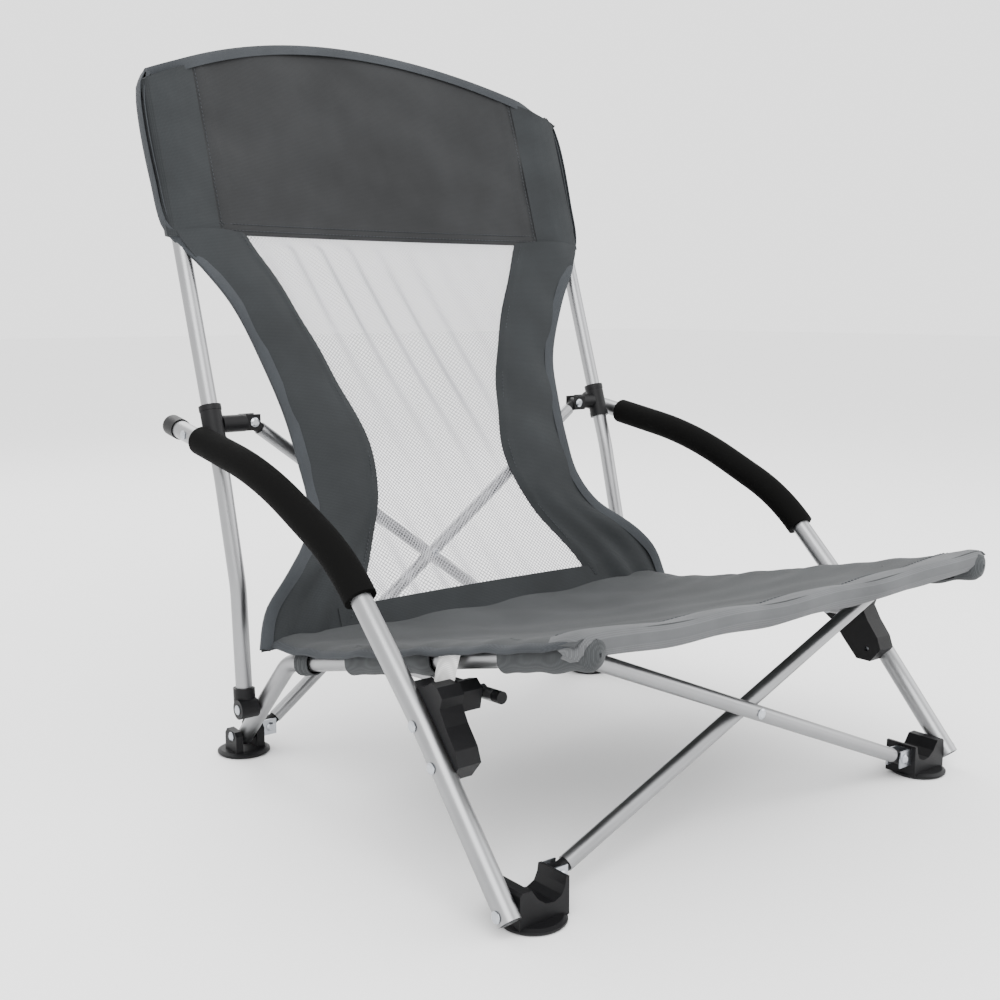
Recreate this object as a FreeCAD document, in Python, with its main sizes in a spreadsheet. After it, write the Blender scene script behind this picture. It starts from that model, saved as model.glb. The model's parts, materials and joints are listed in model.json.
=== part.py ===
import FreeCAD, Part
import math
import os
import Sketcher
from FreeCAD import Placement, Rotation, Vector

# Folding low camp chair.  X runs across the chair (+X is the sitter's left hand
# side seen from the front), Y from front to back and Z up.  The origin is on
# the floor under the middle of the chair.  Everything is built for the -X side
# and mirrored to the +X side.

doc = FreeCAD.newDocument("camp_chair")

# ---------------------------------------------------------------- sizes (mm)
SIZES = [
    # side planes, measured from the middle of the chair
    ("arm_plane", 260.0), ("upright_plane", 239.0), ("rail_plane", 223.0),
    ("strut_plane", 209.0), ("pivot_half_span", 197.5),
    # tubes
    ("arm_radius", 8.5), ("rail_radius", 8.0), ("upright_radius", 7.5),
    ("strut_radius", 4.75), ("bar_radius", 6.25), ("tube_wall", 1.1),
    ("grip_thickness", 4.6),
    # fasteners
    ("pin_radius", 2.4), ("pin_clearance", 0.06), ("head_radius", 4.4), ("head_height", 1.6),
    # feet
    ("disc_radius", 24.5), ("disc_height", 4.6), ("housing_height", 27.0),
    ("front_foot_x", 229.7), ("front_foot_y", -264.0),
    ("rear_foot_x", 223.0), ("rear_foot_y", 168.0),
    # crossbars
    ("front_bar_y", -257.0), ("back_bar_y", 176.0), ("bar_stagger", 14.0),
    ("low_pivot_z", 20.0), ("front_top_z", 184.0), ("back_top_z", 311.0),
    ("eye_radius", 6.0), ("eye_width", 11.0), ("ear_thickness", 1.5), ("ear_gap", 0.3),
    ("clevis_root", 206.6), ("clevis_height", 15.0),
    # sliding collar
    ("collar_length", 36.0), ("collar_wall", 2.3), ("collar_clearance", 0.1),
    # fabric
    ("seat_half_width", 238.0), ("seat_thickness", 4.0), ("seat_gap", 3.5),
    ("back_half_top", 229.0), ("back_half_waist", 161.0), ("back_thickness", 4.0),
]
sheet = doc.addObject("Spreadsheet::Sheet", "sizes")
for row, (alias, value) in enumerate(SIZES, 1):
    sheet.set("A%d" % row, alias)
    sheet.set("B%d" % row, str(value))
    sheet.setAlias("B%d" % row, alias)
doc.recompute()


def size(alias):
    return float(getattr(sheet, alias))


# Centre lines of the bent tubes in the side plane, as (y, z) corners, with the
# bend radius at each inner corner.
ARM_LINE = [(-276.3, 12.1), (-177, 125), (-72, 228), (48, 281), (214, 308.5)]
ARM_BENDS = [420, 200, 420]
RAIL_LINE = [(167, 14), (77, 106.2), (-316, 198.8)]
RAIL_BENDS = [42]
UPRIGHT_LINE = [(132, 56), (138, 165), (162, 262), (280, 627)]
UPRIGHT_BENDS = [90, 200]
GRIP_START = 0.435
GRIP_END = 0.905

# Pivots in the side plane (y, z).
FRONT_FOOT_PIVOT = (-272.0, 17.0)
REAR_FOOT_PIVOT = (162.0, 19.0)
STRUT_FRONT_PIVOT = (-177.0, 139.0)
STRUT_REAR_PIVOT = (-38.61, 133.44)
UPRIGHT_PIVOT = (125.9, 56.0)

made = {}


def add(kind, name):
    return doc.addObject(kind, name)


def sub_part(obj, label):
    """Give an object its node name and remember it for the export."""
    obj.Label = label
    made[label] = obj
    return obj


def origin_plane(body, role):
    for feature in body.Origin.OriginFeatures:
        if feature.Role == role:
            return feature
    raise ValueError(role)


def sketch_on(body, name, role, offset=Placement()):
    sketch = body.newObject("Sketcher::SketchObject", name)
    sketch.AttachmentSupport = (origin_plane(body, role), [""])
    sketch.MapMode = "FlatFace"
    sketch.AttachmentOffset = offset
    return sketch


def closed_outline(sketch, points):
    """Draw a closed polygon and join its corners."""
    count = len(points)
    for i in range(count):
        start = Vector(points[i][0], points[i][1], 0)
        end = Vector(points[(i + 1) % count][0], points[(i + 1) % count][1], 0)
        sketch.addGeometry(Part.LineSegment(start, end), False)
    for i in range(count):
        sketch.addConstraint(Sketcher.Constraint("Coincident", i, 2, (i + 1) % count, 1))


def rounded_line(corners, bends):
    """Straight runs joined by tangent arcs, as sketch geometry."""
    pts = [Vector(y, z, 0) for y, z in corners]
    geometry = []
    start = pts[0]
    for i, radius in enumerate(bends, 1):
        before = (pts[i - 1] - pts[i]).normalize()
        after = (pts[i + 1] - pts[i]).normalize()
        half_turn = (math.pi - before.getAngle(after)) / 2
        reach = radius * math.tan(half_turn)
        first = pts[i] + before * reach
        last = pts[i] + after * reach
        inward = (before + after).normalize()
        centre = pts[i] + inward * (radius / math.cos(half_turn))
        middle = centre - inward * radius
        geometry.append(Part.LineSegment(start, first))
        geometry.append(Part.Arc(first, middle, last))
        start = last
    geometry.append(Part.LineSegment(start, pts[-1]))
    return geometry


def along(geometry, fraction):
    """Cut a run of sketch geometry at a fraction of its length; return both halves."""
    lengths = [g.length() for g in geometry]
    target = sum(lengths) * fraction
    head, tail = [], []
    done = 0.0
    for g, length in zip(geometry, lengths):
        if done + length <= target:
            head.append(g)
        elif done >= target:
            tail.append(g)
        else:
            edge = g.toShape()
            cut = edge.getParameterByLength(target - done)
            p0 = edge.valueAt(edge.FirstParameter)
            p1 = edge.valueAt(cut)
            p2 = edge.valueAt(edge.LastParameter)
            if isinstance(g, Part.LineSegment):
                head.append(Part.LineSegment(p0, p1))
                tail.append(Part.LineSegment(p1, p2))
            else:
                m0 = edge.valueAt((edge.FirstParameter + cut) / 2)
                m1 = edge.valueAt((cut + edge.LastParameter) / 2)
                head.append(Part.Arc(p0, m0, p1))
                tail.append(Part.Arc(p1, m1, p2))
        done += length
    return head, tail


def bent_tube(name, geometry, plane, outer, inner):
    """Tube swept along side-plane geometry.  outer and inner are sheet expressions."""
    body = add("PartDesign::Body", name)
    flat = Placement(Vector(0, 0, -size(plane)), Rotation())
    path = sketch_on(body, name + "_path", "YZ_Plane", flat)
    for g in geometry:
        path.addGeometry(g, False)
    path.setExpression("AttachmentOffset.Base.z", "-sizes." + plane)
    first = geometry[0].toShape()
    start = first.valueAt(first.FirstParameter)
    heading = first.tangentAt(first.FirstParameter)
    turn = Rotation(Vector(0, 0, 1), heading)
    ring = sketch_on(body, name + "_ring", "YZ_Plane",
                     Placement(Vector(start.x, start.y, -size(plane)), turn))
    for expression in (outer, inner):
        if expression is None:
            continue
        index = ring.addGeometry(Part.Circle(Vector(0, 0, 0), Vector(0, 0, 1), 5), False)
        ring.addConstraint(Sketcher.Constraint("Coincident", index, 3, -1, 1))
        radius = ring.addConstraint(Sketcher.Constraint("Radius", index, 5 + index))
        ring.setExpression("Constraints[%d]" % radius, expression)
    doc.recompute()
    pipe = body.newObject("PartDesign::AdditivePipe", name + "_pipe")
    pipe.Profile = ring
    pipe.Spine = (path, ["Edge%d" % (i + 1) for i in range(len(geometry))])
    pipe.Mode = 0
    body.Tip = pipe
    return body


def cylinder(name, centre, axis, radius, height):
    """Cylinder centred on a point; radius and height are numbers or expressions."""
    solid = add("Part::Cylinder", name)
    for prop, value in (("Radius", radius), ("Height", height)):
        if isinstance(value, str):
            solid.setExpression(prop, value)
        else:
            setattr(solid, prop, value)
    doc.recompute()
    turn = Rotation(Vector(0, 0, 1), Vector(*axis))
    base = Vector(*centre) - turn.multVec(Vector(0, 0, solid.Height.Value / 2))
    solid.Placement = Placement(base, turn)
    return solid


def block(name, low, high):
    solid = add("Part::Box", name)
    solid.Length = high[0] - low[0]
    solid.Width = high[1] - low[1]
    solid.Height = high[2] - low[2]
    solid.Placement.Base = Vector(*low)
    return solid


def fuse(name, shapes):
    joined = add("Part::MultiFuse", name)
    joined.Shapes = shapes
    joined.Refine = True
    return joined


def cut(name, base, tools):
    tool = tools[0] if len(tools) == 1 else fuse(name + "_tools", tools)
    result = add("Part::Cut", name)
    result.Base = base
    result.Tool = tool
    return result


def group(name, members):
    together = add("Part::Compound", name)
    together.Links = members
    return together


def hole_tool(name, centre, axis, height):
    return cylinder(name, centre, axis, "sizes.pin_radius + sizes.pin_clearance", height)


def rivet(name, low, high, low_head=True, high_head=True):
    """Round rivet between two points, turned as one profile, with domed heads."""
    low = Vector(*low)
    high = Vector(*high)
    length = (high - low).Length
    shank = size("pin_radius")
    head = size("head_radius")
    rise = size("head_height")
    points = [(0, -rise), (head * 0.62, -rise), (head, -rise * 0.35), (head, 0)] if low_head else [(0, 0)]
    points += [(shank, 0), (shank, length)]
    if high_head:
        points += [(head, length), (head, length + rise * 0.35), (head * 0.62, length + rise),
                   (0, length + rise)]
    else:
        points += [(0, length)]
    body = add("PartDesign::Body", name)
    profile = sketch_on(body, name + "_profile", "XZ_Plane")
    closed_outline(profile, points)
    doc.recompute()
    turned = body.newObject("PartDesign::Revolution", name + "_turned")
    turned.Profile = profile
    turned.ReferenceAxis = (profile, ["V_Axis"])
    turned.Angle = 360
    body.Tip = turned
    body.Placement = Placement(low, Rotation(Vector(0, 0, 1), high - low))
    return body


def plate_body(name, role, outline, thickness, offset):
    """Pad of an outline on an origin plane of its own body."""
    body = add("PartDesign::Body", name)
    sketch = sketch_on(body, name + "_outline", role, offset)
    closed_outline(sketch, outline)
    doc.recompute()
    pad = body.newObject("PartDesign::Pad", name + "_pad")
    pad.Profile = sketch
    if isinstance(thickness, str):
        pad.setExpression("Length", thickness)
    else:
        pad.Length = thickness
    body.Tip = pad
    return body


def mirrored(label, source):
    other = add("Part::Mirroring", label)
    other.Source = source
    other.Base = Vector(0, 0, 0)
    other.Normal = Vector(1, 0, 0)
    return sub_part(other, label)


def both_sides(stem, left):
    """Name the -X piece, and mirror it for the +X side."""
    sub_part(left, stem + "_left")
    mirrored(stem + "_right", left)


# ------------------------------------------------------------------ planes
ARM_X = -size("arm_plane")
UPRIGHT_X = -size("upright_plane")
RAIL_X = -size("rail_plane")
STRUT_X = -size("strut_plane")
PIVOT_X = -size("pivot_half_span")
CLEVIS_X = -size("clevis_root")
ARM_R = size("arm_radius")
RAIL_R = size("rail_radius")
UPRIGHT_R = size("upright_radius")
STRUT_R = size("strut_radius")
LOW_Z = size("low_pivot_z")
HALF_STAGGER = size("bar_stagger") / 2
FRONT_BAR_Y = size("front_bar_y")
BACK_BAR_Y = size("back_bar_y")
X_AXIS = (1, 0, 0)
Y_AXIS = (0, 1, 0)


def side_point(x, yz):
    return (x, yz[0], yz[1])


# ------------------------------------------------------- arm and front leg
arm_path = rounded_line(ARM_LINE, ARM_BENDS)
arm_blank = bent_tube("arm_blank", arm_path, "arm_plane", "sizes.arm_radius",
                      "sizes.arm_radius - sizes.tube_wall")
BRACKET_RIVETS = [(-177.3, 124.0), (-199.6, 99.4)]
collar_slope = (UPRIGHT_LINE[3][0] - UPRIGHT_LINE[2][0]) / (UPRIGHT_LINE[3][1] - UPRIGHT_LINE[2][1])
COLLAR_POINT = (UPRIGHT_LINE[2][0] + (size("back_top_z") - UPRIGHT_LINE[2][1]) * collar_slope,
                size("back_top_z"))
ARM_PIVOT_Z = 303.2
arm_holes = [hole_tool("arm_foot_hole", side_point(ARM_X, FRONT_FOOT_PIVOT), X_AXIS, 30)]
for i, spot in enumerate(BRACKET_RIVETS):
    arm_holes.append(hole_tool("arm_bracket_hole_%d" % i, side_point(ARM_X, spot), X_AXIS, 30))
arm_holes.append(hole_tool("arm_collar_hole", side_point(ARM_X, (COLLAR_POINT[0], ARM_PIVOT_Z)),
                           X_AXIS, 30))
both_sides("arm_tube", cut("arm_tube_drilled", arm_blank, arm_holes))

grip_head, grip_rest = along(arm_path, GRIP_START)
grip_path, grip_tail = along(grip_rest, (GRIP_END - GRIP_START) / (1 - GRIP_START))
both_sides("arm_grip", bent_tube("arm_grip_sleeve", grip_path, "arm_plane",
                                 "sizes.arm_radius + sizes.grip_thickness",
                                 "sizes.arm_radius + 0.05"))

tip = Vector(ARM_X, ARM_LINE[-1][0], ARM_LINE[-1][1])
tip_dir = Vector(0, ARM_LINE[-1][0] - ARM_LINE[-2][0], ARM_LINE[-1][1] - ARM_LINE[-2][1]).normalize()
cap_shell = cylinder("arm_cap_shell", tuple(tip - tip_dir * 5.0), tuple(tip_dir), ARM_R + 1.2, 18.0)
cap_bore = cylinder("arm_cap_bore", tuple(tip - tip_dir * 9.95), tuple(tip_dir), ARM_R + 0.05, 20.0)
cap_rim = cut("arm_cap_rim", cap_shell, [cap_bore])
cap_core = cylinder("arm_cap_core", tuple(tip - tip_dir * 4.0), tuple(tip_dir),
                    ARM_R - size("tube_wall") - 0.05, 10.0)
both_sides("arm_end_cap", fuse("arm_cap", [cap_rim, cap_core]))

# Moulded bracket on the inner face of the arm, with a saddle under the rail.
bracket_outline = [(-215, 101), (-204, 88), (-189, 88), (-172, 106), (-162, 118), (-153, 131),
                   (-150, 146), (-156, 149.5), (-165, 147.5), (-175, 150), (-182, 154.5),
                   (-190, 153), (-196, 146), (-193, 138), (-200, 126), (-211, 112)]
bracket_inner_x = STRUT_X - STRUT_R - 0.3
bracket_body_x = ARM_X + 24.0
bracket_body = plate_body("bracket_body", "YZ_Plane", bracket_outline, bracket_body_x - (ARM_X + 4.0),
                          Placement(Vector(0, 0, ARM_X + 4.0), Rotation()))
horn_outline = [(-186, 129), (-189, 145), (-182, 151), (-172, 148.5), (-166, 144), (-166, 132),
                (-174, 127)]
bracket_horn = plate_body("bracket_horn", "YZ_Plane", horn_outline, bracket_inner_x - bracket_body_x + 2.0,
                          Placement(Vector(0, 0, bracket_body_x - 2.0), Rotation()))
bracket_block = fuse("bracket_block", [bracket_body, bracket_horn])
arm_core = bent_tube("arm_core", arm_path, "arm_plane", "sizes.arm_radius + 0.05", None)
bracket_holes = [arm_core]
for i, spot in enumerate(BRACKET_RIVETS):
    bracket_holes.append(hole_tool("bracket_hole_%d" % i, side_point(ARM_X + 20, spot), X_AXIS, 60))
bracket_holes.append(hole_tool("bracket_strut_hole", side_point(STRUT_X, STRUT_FRONT_PIVOT),
                               X_AXIS, 60))
both_sides("side_bracket", cut("bracket", bracket_block, bracket_holes))

arm_outer = ARM_X - ARM_R
bracket_rivets = []
for i, spot in enumerate(BRACKET_RIVETS):
    bracket_rivets.append(rivet("bracket_rivet_%d" % i, side_point(arm_outer - 0.2, spot),
                                side_point(ARM_X + 21, spot), True, False))
bracket_rivets.append(rivet("strut_pin", side_point(bracket_inner_x - 10, STRUT_FRONT_PIVOT),
                            side_point(STRUT_X + STRUT_R + 0.3, STRUT_FRONT_PIVOT), False, True))
bracket_rivets.append(rivet("collar_rivet", side_point(arm_outer - 0.2, (COLLAR_POINT[0], ARM_PIVOT_Z)),
                            side_point(ARM_X + ARM_R - 0.3, (COLLAR_POINT[0], ARM_PIVOT_Z)), True, False))
both_sides("arm_rivets", group("arm_rivet_set", bracket_rivets))

# ------------------------------------------------------------------- strut
strut_vec = Vector(0, STRUT_REAR_PIVOT[0] - STRUT_FRONT_PIVOT[0],
                   STRUT_REAR_PIVOT[1] - STRUT_FRONT_PIVOT[1])
strut_dir = Vector(strut_vec).normalize()
strut_front = Vector(STRUT_X, *STRUT_FRONT_PIVOT) - strut_dir * 20
strut_rear = Vector(STRUT_X, *STRUT_REAR_PIVOT) + strut_dir * 9
strut_mid = (strut_front + strut_rear) * 0.5
strut_length = (strut_rear - strut_front).Length
strut_out = cylinder("strut_out", tuple(strut_mid), tuple(strut_dir), "sizes.strut_radius", strut_length)
strut_in = cylinder("strut_in", tuple(strut_mid), tuple(strut_dir),
                    "sizes.strut_radius - sizes.tube_wall", strut_length + 2)
strut_holes = [strut_in,
               hole_tool("strut_front_hole", side_point(STRUT_X, STRUT_FRONT_PIVOT), X_AXIS, 20),
               hole_tool("strut_rear_hole", side_point(STRUT_X, STRUT_REAR_PIVOT), X_AXIS, 20)]
both_sides("strut_tube", cut("strut", strut_out, strut_holes))


def tube_plug(name, end, outward, bore_radius, cap_radius, cap_length):
    """Push-in plug: a short stem inside the tube, clear of the rivet, and a cap over its end."""
    stem = cylinder(name + "_stem", tuple(end - outward * 2.5), tuple(outward), bore_radius - 0.05, 5.0)
    cap = cylinder(name + "_cap", tuple(end + outward * (cap_length / 2 + 0.05)), tuple(outward),
                   cap_radius, cap_length)
    return fuse(name, [stem, cap])


strut_bore = STRUT_R - size("tube_wall")
both_sides("strut_caps", group("strut_cap_pair", [
    tube_plug("strut_front_cap", strut_front, strut_dir * -1, strut_bore, STRUT_R, 8.0),
    tube_plug("strut_rear_cap", strut_rear, strut_dir, strut_bore, STRUT_R, 2.5)]))
both_sides("strut_rivet", rivet("strut_rear_rivet",
                                side_point(RAIL_X - RAIL_R + 1.5, STRUT_REAR_PIVOT),
                                side_point(STRUT_X + STRUT_R + 0.3, STRUT_REAR_PIVOT), False, True))

# ------------------------------------------------ seat side tube (rear leg)
rail_path = rounded_line(RAIL_LINE, RAIL_BENDS)
rail_blank = bent_tube("rail_blank", rail_path, "rail_plane", "sizes.rail_radius",
                       "sizes.rail_radius - sizes.tube_wall")
rail_holes = [hole_tool("rail_foot_hole", side_point(RAIL_X, REAR_FOOT_PIVOT), X_AXIS, 30),
              hole_tool("rail_strut_hole", side_point(RAIL_X, STRUT_REAR_PIVOT), X_AXIS, 30),
              hole_tool("rail_upright_hole", side_point(RAIL_X - 8, UPRIGHT_PIVOT), X_AXIS, 14)]
both_sides("seat_side_tube", cut("rail", rail_blank, rail_holes))


# -------------------------------------------------------------------- feet
def foot(name, x, y, blocks, holes):
    """Round foot turned in one profile, with moulded blocks on top."""
    radius = size("disc_radius")
    height = size("disc_height")
    body = add("PartDesign::Body", name + "_disc")
    profile = sketch_on(body, name + "_disc_profile", "XZ_Plane")
    closed_outline(profile, [(0, 0), (radius - 1.2, 0), (radius, 1.2), (radius, 2.6),
                             (radius - 3.0, height - 0.4), (radius - 9.0, height), (0, height)])
    doc.recompute()
    turned = body.newObject("PartDesign::Revolution", name + "_turned")
    turned.Profile = profile
    turned.ReferenceAxis = (profile, ["V_Axis"])
    turned.Angle = 360
    body.Tip = turned
    body.Placement = Placement(Vector(x, y, 0), Rotation())
    return cut(name, fuse(name + "_solid", [body] + blocks), holes)


def housing(name, x0, x1, y, half_width, height):
    """Upright moulded block with a sloping top and rounded rear edge."""
    outline = [(y - half_width, 2.0), (y + half_width, 2.0), (y + half_width, height - 5.0),
               (y + half_width - 4.0, height), (y - half_width + 3.0, height - 1.0),
               (y - half_width, height - 5.0)]
    return plate_body(name, "YZ_Plane", outline, x1 - x0, Placement(Vector(0, 0, x0), Rotation()))


house_x0 = ARM_X + ARM_R + 0.4
house_x1 = CLEVIS_X - 0.05
dish_outline = [(house_x0, 2), (house_x0, 27), (house_x0 + 2, 29), (-241, 29), (-235, 21), (-228, 16),
                (-220, 15), (-213.5, 18), (-210.5, 24), (-209.5, 30), (house_x1, 30), (house_x1, 2)]
front_house = plate_body("front_housing", "XZ_Plane", dish_outline, 30.0,
                         Placement(Vector(0, 0, 246.0), Rotation()))
both_sides("front_foot", foot("front_foot_body", -size("front_foot_x"), size("front_foot_y"), [front_house],
                              [hole_tool("front_foot_hole", side_point(ARM_X + 10, FRONT_FOOT_PIVOT),
                                         X_AXIS, 30)]))
rear_inner = housing("rear_housing_in", RAIL_X + RAIL_R + 0.4, CLEVIS_X - 0.05, 172.0, 15.0,
                     size("housing_height"))
rear_outer = housing("rear_housing_out", RAIL_X - RAIL_R - 7.4, RAIL_X - RAIL_R - 0.4, 164.0, 11.0,
                     size("housing_height") - 2.0)
both_sides("rear_foot", foot("rear_foot_body", -size("rear_foot_x"), size("rear_foot_y"),
                             [rear_inner, rear_outer],
                             [hole_tool("rear_foot_hole", side_point(RAIL_X, REAR_FOOT_PIVOT),
                                        X_AXIS, 50)]))


def clevis(name, y, z):
    """Bent sheet bracket: a base plate with two ears around the bar's eye."""
    half_gap = size("eye_width") / 2 + size("ear_gap")
    ear = size("ear_thickness")
    half = size("clevis_height") / 2
    root = CLEVIS_X
    nose = PIVOT_X + 6.2
    outer = block(name + "_outer", (root, y - half_gap - ear, z - half),
                  (nose, y + half_gap + ear, z + half))
    slot = block(name + "_slot", (root + ear, y - half_gap, z - half - 1),
                 (nose + 1, y + half_gap, z + half + 1))
    hole = hole_tool(name + "_hole", (PIVOT_X, y, z), Y_AXIS, 30)
    return cut(name, outer, [slot, hole])


def clevis_pin(name, y, z):
    reach = size("eye_width") / 2 + size("ear_gap") + size("ear_thickness") + 0.1
    return rivet(name, (PIVOT_X, y - reach, z), (PIVOT_X, y + reach, z))


# Bar "a" of each pair runs from the low left pivot, bar "b" from the low right
# one.  The planes are set so that each pair passes face to face.
back_a_y = BACK_BAR_Y - HALF_STAGGER
back_b_y = BACK_BAR_Y + HALF_STAGGER
front_a_y = FRONT_BAR_Y + HALF_STAGGER
front_b_y = FRONT_BAR_Y - HALF_STAGGER
FRONT_TOP = size("front_top_z")
BACK_TOP = size("back_top_z")


def clevis_pair(stem, y_left, y_right, z):
    """Clevises on both sides, at the depth of the bar each one holds."""
    sub_part(clevis(stem + "_l", y_left, z), stem + "_left")
    mirrored(stem + "_right", clevis(stem + "_r", y_right, z))


clevis_pair("front_foot_clevis", front_a_y, front_b_y, LOW_Z)
clevis_pair("rear_foot_clevis", back_a_y, back_b_y, LOW_Z)
clevis_pair("front_hub_clevis", front_b_y, front_a_y, FRONT_TOP)
clevis_pair("collar_clevis", back_b_y, back_a_y, BACK_TOP)


def foot_rivets(stem, spot, x_out, x_in, y_left, y_right):
    """Cross rivet through the tube and the clevis pin, one set per foot."""
    for tag, y, wrap in (("left", y_left, sub_part), ("right", y_right, None)):
        members = [rivet(stem + "_cross_" + tag, side_point(x_out, spot), side_point(x_in, spot),
                         True, False)]
        if y is not None:
            members.append(clevis_pin(stem + "_pin_" + tag, y, LOW_Z))
        pair = group(stem + "_set_" + tag, members)
        if wrap:
            wrap(pair, stem + "_left")
        else:
            mirrored(stem + "_right", pair)


foot_rivets("front_foot_rivets", FRONT_FOOT_PIVOT, arm_outer - 0.2, ARM_X + ARM_R + 11,
            front_a_y, front_b_y)
foot_rivets("rear_foot_rivets", REAR_FOOT_PIVOT, RAIL_X - RAIL_R - 7.6, RAIL_X + RAIL_R + 6,
            back_a_y, None)
sub_part(clevis_pin("front_hub_pin_l", front_b_y, FRONT_TOP), "front_hub_pin_left")
mirrored("front_hub_pin_right", clevis_pin("front_hub_pin_r", front_a_y, FRONT_TOP))
sub_part(clevis_pin("collar_pin_l", back_b_y, BACK_TOP), "collar_pin_left")
mirrored("collar_pin_right", clevis_pin("collar_pin_r", back_a_y, BACK_TOP))


# --------------------------------------------------------------- front hubs
def front_hub(name, bar_y):
    """Hub block beside the rail, from the rail's front end back to the clevis."""
    outline = [(-300, 187), (-296, 198), (-284, 197), (-274, 192), (bar_y + 8, FRONT_TOP + 7),
               (bar_y + 8, FRONT_TOP - 9), (bar_y - 8, FRONT_TOP - 9), (-282, 181)]
    x0 = RAIL_X + RAIL_R + 0.5
    return plate_body(name, "YZ_Plane", outline, CLEVIS_X - 0.05 - x0,
                      Placement(Vector(0, 0, x0), Rotation()))


sub_part(front_hub("hub_l", front_b_y), "front_hub_left")
mirrored("front_hub_right", front_hub("hub_r", front_a_y))

# ---------------------------------------------------------------- uprights
upright_path = rounded_line(UPRIGHT_LINE, UPRIGHT_BENDS)
upright_blank = bent_tube("upright_blank", upright_path, "upright_plane", "sizes.upright_radius",
                          "sizes.upright_radius - sizes.tube_wall")
both_sides("upright_tube", cut("upright", upright_blank,
                               [hole_tool("upright_hole", side_point(UPRIGHT_X, UPRIGHT_PIVOT),
                                          X_AXIS, 30)]))
foot_of_upright = Vector(UPRIGHT_X, *UPRIGHT_LINE[0])
up_dir = Vector(0, UPRIGHT_LINE[1][0] - UPRIGHT_LINE[0][0],
                UPRIGHT_LINE[1][1] - UPRIGHT_LINE[0][1]).normalize()
sleeve = cylinder("fitting_sleeve", tuple(foot_of_upright + up_dir * 6), tuple(up_dir), 10.0, 24.0)
fitting_eye = cylinder("fitting_eye", side_point(UPRIGHT_X - 1.5, UPRIGHT_PIVOT), X_AXIS, 9.0, 18.0)
fitting_trim = block("fitting_trim", (RAIL_X - RAIL_R - 0.4, 88, 20), (RAIL_X + 20, 168, 100))
fitting_bore = cylinder("fitting_bore", tuple(foot_of_upright + up_dir * 15.05), tuple(up_dir),
                        UPRIGHT_R + 0.05, 30.0)
fitting_hole = hole_tool("fitting_hole", side_point(UPRIGHT_X, UPRIGHT_PIVOT), X_AXIS, 40)
both_sides("upright_fitting", cut("fitting", fuse("fitting_solid", [sleeve, fitting_eye]),
                                  [fitting_trim, fitting_bore, fitting_hole]))
both_sides("upright_rivet", rivet("upright_pivot_rivet",
                                  side_point(UPRIGHT_X - 10.7, UPRIGHT_PIVOT),
                                  side_point(RAIL_X - RAIL_R + 4.0, UPRIGHT_PIVOT), True, False))

# ---------------------------------------------------------- sliding collars
slide_dir = Vector(0, UPRIGHT_LINE[3][0] - UPRIGHT_LINE[2][0],
                   UPRIGHT_LINE[3][1] - UPRIGHT_LINE[2][1]).normalize()
collar_centre = Vector(UPRIGHT_X, COLLAR_POINT[0], COLLAR_POINT[1])
collar_bore_r = UPRIGHT_R + size("collar_clearance")
collar_outer_r = UPRIGHT_R + size("collar_wall")
collar_len = size("collar_length")
collar_body = cylinder("collar_body", tuple(collar_centre), tuple(slide_dir), collar_outer_r, collar_len)
collar_ribs = [cylinder("collar_rib_%d" % i, tuple(collar_centre + slide_dir * step), tuple(slide_dir),
                        collar_outer_r + 0.5, 5.0)
               for i, step in enumerate((-15.5, 15.5))]
lug_x0 = UPRIGHT_X + UPRIGHT_R + 0.6
lug_x1 = CLEVIS_X - 0.6
collar_lug = cylinder("collar_lug", ((lug_x0 + lug_x1) / 2, COLLAR_POINT[0], COLLAR_POINT[1]), X_AXIS,
                      8.0, lug_x1 - lug_x0)
collar_bore = cylinder("collar_bore", tuple(collar_centre), tuple(slide_dir), collar_bore_r, collar_len + 20)
collar_face = block("collar_face", (ARM_X - 20, COLLAR_POINT[0] - 60, COLLAR_POINT[1] - 60),
                    (ARM_X + ARM_R + 0.35, COLLAR_POINT[0] + 60, COLLAR_POINT[1] + 60))
both_sides("slide_collar", cut("collar", fuse("collar_solid", [collar_body, collar_lug] + collar_ribs),
                               [collar_bore, collar_face]))


# --------------------------------------------------------------- crossbars
def crossbar(stem, y, top_z, rising):
    """Straight tube between two pivots, with an eye plug at each end."""
    side = 1.0 if rising else -1.0
    low = Vector(side * PIVOT_X, y, LOW_Z)
    high = Vector(-side * PIVOT_X, y, top_z)
    run = (high - low).normalize()
    middle = (low + high) * 0.5
    span = (high - low).Length
    inset = 11.0
    outer = cylinder(stem + "_out", tuple(middle), tuple(run), "sizes.bar_radius", span - 2 * inset)
    inner = cylinder(stem + "_in", tuple(middle), tuple(run), "sizes.bar_radius - sizes.tube_wall", span)
    centre_hole = hole_tool(stem + "_centre_hole", tuple(middle), Y_AXIS, 30)
    sub_part(cut(stem + "_tube", outer, [inner, centre_hole]), stem)
    plugs = []
    bore = size("bar_radius") - size("tube_wall")
    for tag, point, inward in (("low", low, run), ("high", high, run * -1)):
        stem_core = cylinder("%s_%s_core" % (stem, tag), tuple(point + inward * 11.0), tuple(inward),
                             bore - 0.05, 22.0)
        eye = cylinder("%s_%s_eye" % (stem, tag), tuple(point), Y_AXIS, "sizes.eye_radius",
                       "sizes.eye_width")
        neck = cylinder("%s_%s_neck" % (stem, tag), tuple(point + inward * 8.2), tuple(inward),
                        5.4, 5.4)
        hole = hole_tool("%s_%s_hole" % (stem, tag), tuple(point), Y_AXIS, 30)
        plugs.append(cut("%s_%s_plug" % (stem, tag),
                         fuse("%s_%s_solid" % (stem, tag), [stem_core, eye, neck]), [hole]))
    sub_part(group(stem + "_plug_pair", plugs), stem + "_plugs")
    return middle


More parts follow.
